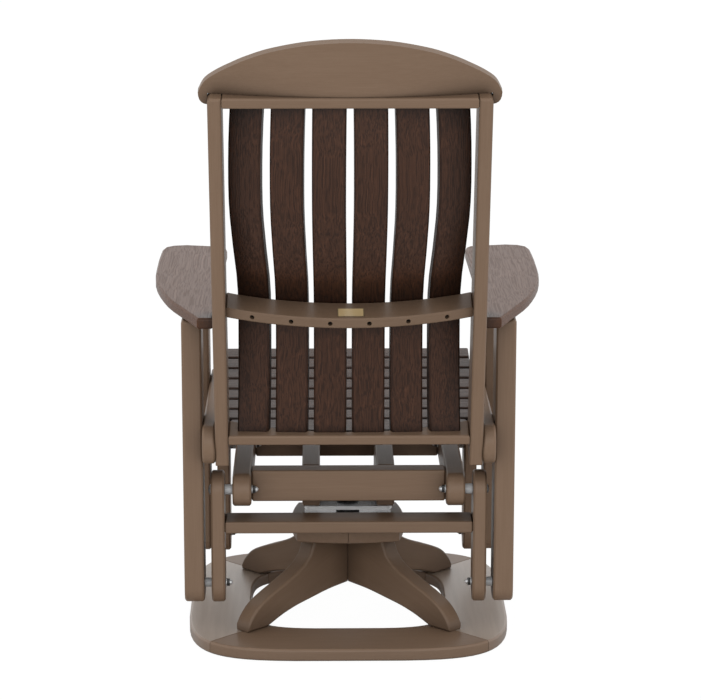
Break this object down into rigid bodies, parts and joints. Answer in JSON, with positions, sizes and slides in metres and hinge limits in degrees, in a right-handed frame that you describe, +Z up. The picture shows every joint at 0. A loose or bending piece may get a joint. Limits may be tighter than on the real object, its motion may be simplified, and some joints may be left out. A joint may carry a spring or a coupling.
{
  "type": "swivel glider chair",
  "caption": "High-backed slatted outdoor armchair that glides on hanging links and swivels on a splayed-leg ring base.",
  "frame": {"origin": "on the floor, under the middle of the chair's bounding box at rest", "axes": "+Z up, -Y towards the front of the seat, +X towards the sitter's left; the swivel axis is vertical at x 0, y -0.0644 m"},
  "size_m": [0.6906, 0.7276, 1.0854],
  "materials": {
    "taupe_board": "solid poly lumber with fine brushed streaks",
    "grained_board": "poly lumber with an embossed wood grain",
    "arm_board": "poly lumber with an embossed wood grain",
    "hardware": "plain bright steel"
  },
  "bodies": {
    "base": {"base_leg_front_left": "taupe_board", "base_leg_front_right": "taupe_board", "base_leg_rear_left": "taupe_board", "base_leg_rear_right": "taupe_board", "base_ring_front": "taupe_board", "base_ring_left": "taupe_board", "base_ring_rear": "taupe_board", "base_ring_right": "taupe_board", "hub_plate": "taupe_board", "swivel_plate_fixed": "hardware"},
    "turntable": {"frame_bearer_left": "taupe_board", "frame_bearer_right": "taupe_board", "frame_cross_front": "taupe_board", "frame_cross_rear": "taupe_board", "frame_side_left": "taupe_board", "frame_side_right": "taupe_board", "pivot_upper_front_left": "hardware", "pivot_upper_front_right": "hardware", "pivot_upper_rear_left": "hardware", "pivot_upper_rear_right": "hardware", "swivel_plate_turning": "hardware"},
    "rear_links": {"link_rear_left": "taupe_board", "link_rear_right": "taupe_board", "link_spreader": "taupe_board"},
    "front_links": {"link_front_left": "taupe_board", "link_front_right": "taupe_board"},
    "chair": {"arm_left": "arm_board", "arm_right": "arm_board", "back_post_left": "taupe_board", "back_post_right": "taupe_board", "back_rail_bottom": "taupe_board", "back_rail_lumbar": "taupe_board", "back_rail_top": "taupe_board", "back_slat_1": "grained_board", "back_slat_2": "grained_board", "back_slat_3": "grained_board", "back_slat_4": "grained_board", "back_slat_5": "grained_board", "back_slat_6": "grained_board", "head_board": "taupe_board", "leg_front_left": "taupe_board", "leg_front_right": "taupe_board", "leg_rear_left": "taupe_board", "leg_rear_right": "taupe_board", "pivot_lower_front_left": "hardware", "pivot_lower_front_right": "hardware", "pivot_lower_rear_left": "hardware", "pivot_lower_rear_right": "hardware", "seat_runner_left": "taupe_board", "seat_runner_right": "taupe_board", "seat_side_left": "taupe_board", "seat_side_right": "taupe_board", "seat_slat_1": "grained_board", "seat_slat_2": "grained_board", "seat_slat_3": "grained_board", "seat_slat_4": "grained_board", "seat_slat_5": "grained_board", "seat_slat_6": "grained_board", "seat_slat_7": "grained_board", "seat_slat_8": "grained_board"}
  },
  "joints": [
    {"name": "swivel", "type": "hinge", "parent": "base", "child": "turntable", "pos_m": [0, -0.06438, 0.2], "axis": [0, 0, 1], "continuous": true},
    {"name": "glide", "type": "hinge", "parent": "turntable", "child": "rear_links", "pos_m": [0, 0.09062, 0.2715], "axis": [1, 0, 0], "range_deg": [-15, 15]},
    {"name": "front_link_swing", "type": "hinge", "parent": "turntable", "child": "front_links", "pos_m": [0, -0.21937, 0.2715], "axis": [1, 0, 0], "range_deg": [-15, 15]},
    {"name": "chair_level", "type": "hinge", "parent": "rear_links", "child": "chair", "pos_m": [0, 0.09062, 0.102], "axis": [1, 0, 0], "range_deg": [-15, 15]}
  ],
  "couplings": [
    {"joint": "front_link_swing", "follows": "glide", "ratio": 1},
    {"joint": "chair_level", "follows": "glide", "ratio": -1}
  ]
}
